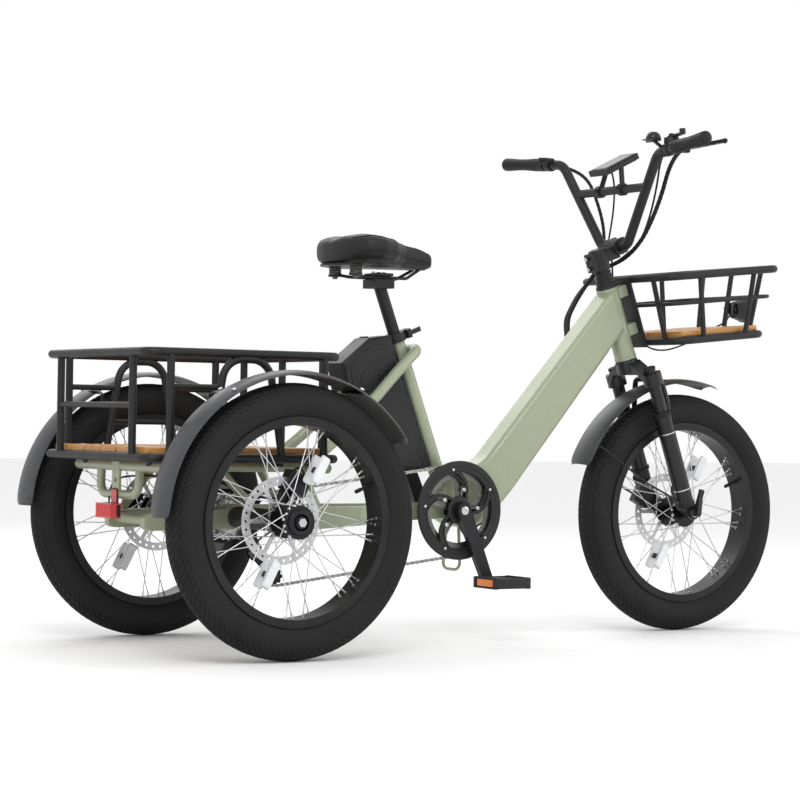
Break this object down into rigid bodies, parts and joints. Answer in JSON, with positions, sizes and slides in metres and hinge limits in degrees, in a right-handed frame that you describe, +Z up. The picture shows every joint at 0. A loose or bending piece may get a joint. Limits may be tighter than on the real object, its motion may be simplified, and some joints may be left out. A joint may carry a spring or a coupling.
{
  "type": "adult tricycle",
  "caption": "Electric adult tricycle: step-through frame, fat tyres with fenders, suspension fork, wide handlebar, saddle, battery behind the seat tube, wood-floored front and rear baskets.",
  "frame": {"origin": "on the ground under the middle of the whole tricycle", "axes": "+X forward, +Y to the rider's left, +Z up"},
  "size_m": [1.8258, 0.7866, 1.1539],
  "materials": {
    "sage_paint": "satin metallic",
    "black_paint": "satin",
    "grey_fender": "satin",
    "housing_alloy": "cast, painted",
    "steel": "satin",
    "rotor_steel": "satin",
    "black_rim": "anodised satin",
    "spoke_steel": "bright",
    "tyre_rubber": "matte",
    "crank_alloy": "satin black",
    "black_plastic": "fine grain",
    "battery_black": "fine grain",
    "caliper_alloy": "satin black",
    "post_black": "anodised satin",
    "saddle_leather": "soft satin",
    "grip_rubber": "matte",
    "bamboo": "oiled",
    "display_black": "gloss",
    "light_black": "satin",
    "red_lens": "gloss",
    "cable_rubber": "matte"
  },
  "bodies": {
    "frame": {"main_frame": "sage_paint", "seat_stays": "sage_paint", "rear_subframe": "sage_paint", "rear_platform": "sage_paint", "bearings": "steel", "axle_housing": "housing_alloy", "rear_derailleur": "black_plastic", "chain": "steel", "rear_brake_calipers": "caliper_alloy", "rear_fenders": "grey_fender", "rear_basket": "black_paint", "basket_slats": "bamboo", "front_basket": "black_paint", "headlight": "light_black", "tail_light": "red_lens", "battery_dock": "black_plastic", "seat_clamp": "black_paint", "frame_cables": "cable_rubber"},
    "battery": {"battery_case": "battery_black"},
    "seat": {"seat_post": "post_black", "saddle": "saddle_leather", "saddle_rails": "steel"},
    "seat_clamp_lever": {"seat_clamp_lever": "crank_alloy"},
    "steerer": {"fork_crown": "black_paint", "stem": "black_paint", "handlebar": "black_paint", "grips": "grip_rubber", "bar_controls": "black_plastic", "display": "display_black", "bar_cables": "cable_rubber"},
    "fork_lowers": {"fork_lowers": "black_paint", "front_fender": "grey_fender", "front_axle": "steel", "front_brake_caliper": "caliper_alloy"},
    "front_quick_release": {"front_quick_release": "crank_alloy"},
    "front_wheel": {"front_tyre": "tyre_rubber", "front_rim": "black_rim", "front_spokes": "spoke_steel", "front_hub": "rotor_steel"},
    "rear_left_wheel": {"rear_left_tyre": "tyre_rubber", "rear_left_rim": "black_rim", "rear_left_spokes": "spoke_steel", "rear_left_hub": "rotor_steel"},
    "rear_right_wheel": {"rear_right_tyre": "tyre_rubber", "rear_right_rim": "black_rim", "rear_right_spokes": "spoke_steel", "rear_right_hub": "rotor_steel"},
    "crank": {"crank_spindle": "steel", "chainring": "black_plastic", "crank_right": "crank_alloy", "crank_left": "crank_alloy"},
    "pedal_right": {"pedal_right": "black_plastic"},
    "pedal_left": {"pedal_left": "black_plastic"},
    "cassette": {"cassette": "steel"},
    "jockey_upper": {"jockey_upper": "black_plastic"},
    "jockey_lower": {"jockey_lower": "black_plastic"},
    "brake_lever_right": {"brake_lever_right": "crank_alloy"},
    "brake_lever_left": {"brake_lever_left": "crank_alloy"},
    "shifter_paddle": {"shifter_paddle": "black_plastic"},
    "bell_striker": {"bell_striker": "steel"}
  },
  "joints": [
    {"name": "steering", "type": "hinge", "parent": "frame", "child": "steerer", "pos_m": [0.47412, 0, 0.64272], "axis": [-0.3355, 0, 0.9421], "range_deg": [-45, 45]},
    {"name": "fork_travel", "type": "slide", "parent": "steerer", "child": "fork_lowers", "axis": [-0.3355, 0, 0.9421], "range_m": [0, 0.034], "stiffness_N_per_m": 12000, "springref_m": -0.03},
    {"name": "front_wheel_spin", "type": "hinge", "parent": "fork_lowers", "child": "front_wheel", "pos_m": [0.633, 0, 0.28], "axis": [0, 1, 0], "continuous": true},
    {"name": "rear_left_wheel_spin", "type": "hinge", "parent": "frame", "child": "rear_left_wheel", "pos_m": [-0.607, 0.3235, 0.28], "axis": [0, 1, 0], "continuous": true},
    {"name": "rear_right_wheel_spin", "type": "hinge", "parent": "frame", "child": "rear_right_wheel", "pos_m": [-0.607, -0.3235, 0.28], "axis": [0, 1, 0], "continuous": true},
    {"name": "crank_spin", "type": "hinge", "parent": "frame", "child": "crank", "pos_m": [-0.034, 0, 0.29], "axis": [0, 1, 0], "continuous": true},
    {"name": "right_pedal_spin", "type": "hinge", "parent": "crank", "child": "pedal_right", "pos_m": [0.03242, -0.12, 0.13351], "axis": [0, 1, 0], "continuous": true},
    {"name": "left_pedal_spin", "type": "hinge", "parent": "crank", "child": "pedal_left", "pos_m": [-0.10042, 0.12, 0.44649], "axis": [0, 1, 0], "continuous": true},
    {"name": "cassette_spin", "type": "hinge", "parent": "frame", "child": "cassette", "pos_m": [-0.607, -0.062, 0.28], "axis": [0, 1, 0], "continuous": true},
    {"name": "upper_jockey_spin", "type": "hinge", "parent": "frame", "child": "jockey_upper", "pos_m": [-0.552, -0.062, 0.205], "axis": [0, 1, 0], "continuous": true},
    {"name": "lower_jockey_spin", "type": "hinge", "parent": "frame", "child": "jockey_lower", "pos_m": [-0.497, -0.062, 0.152], "axis": [0, 1, 0], "continuous": true},
    {"name": "seat_height", "type": "slide", "parent": "frame", "child": "seat", "axis": [-0.3584, 0, 0.9336], "range_m": [-0.08, 0.1]},
    {"name": "seat_clamp_swing", "type": "hinge", "parent": "frame", "child": "seat_clamp_lever", "pos_m": [-0.14007, -0.0144, 0.68093], "axis": [-0.3584, 0, 0.9336], "range_deg": [-120, 0]},
    {"name": "battery_release", "type": "slide", "parent": "frame", "child": "battery", "axis": [-0.3584, 0, 0.9336], "range_m": [0, 0.1]},
    {"name": "wheel_release", "type": "hinge", "parent": "fork_lowers", "child": "front_quick_release", "pos_m": [0.633, -0.0794, 0.28], "axis": [0.9848, 0, -0.1736], "range_deg": [0, 150]},
    {"name": "right_brake_squeeze", "type": "hinge", "parent": "steerer", "child": "brake_lever_right", "pos_m": [0.43979, -0.2569, 1.11297], "axis": [0, 0.0733, 0.9973], "range_deg": [-18, 0], "stiffness_Nm_per_rad": 1, "springref_deg": 14.32},
    {"name": "left_brake_squeeze", "type": "hinge", "parent": "steerer", "child": "brake_lever_left", "pos_m": [0.43979, 0.2569, 1.11297], "axis": [0, 0.0733, -0.9973], "range_deg": [-18, 0], "stiffness_Nm_per_rad": 1, "springref_deg": 14.32},
    {"name": "shift_press", "type": "hinge", "parent": "steerer", "child": "shifter_paddle", "pos_m": [0.41754, -0.23185, 1.1372], "axis": [0, 0.0733, 0.9973], "range_deg": [0, 30], "stiffness_Nm_per_rad": 0.3, "springref_deg": -17.19},
    {"name": "bell_flick", "type": "hinge", "parent": "steerer", "child": "bell_striker", "pos_m": [0.38728, -0.18472, 1.13173], "axis": [0, 0.0733, 0.9973], "range_deg": [0, 28], "stiffness_Nm_per_rad": 0.02, "springref_deg": -17.19}
  ],
  "couplings": [
    {"joint": "cassette_spin", "follows": "crank_spin", "ratio": 2.6316}
  ]
}
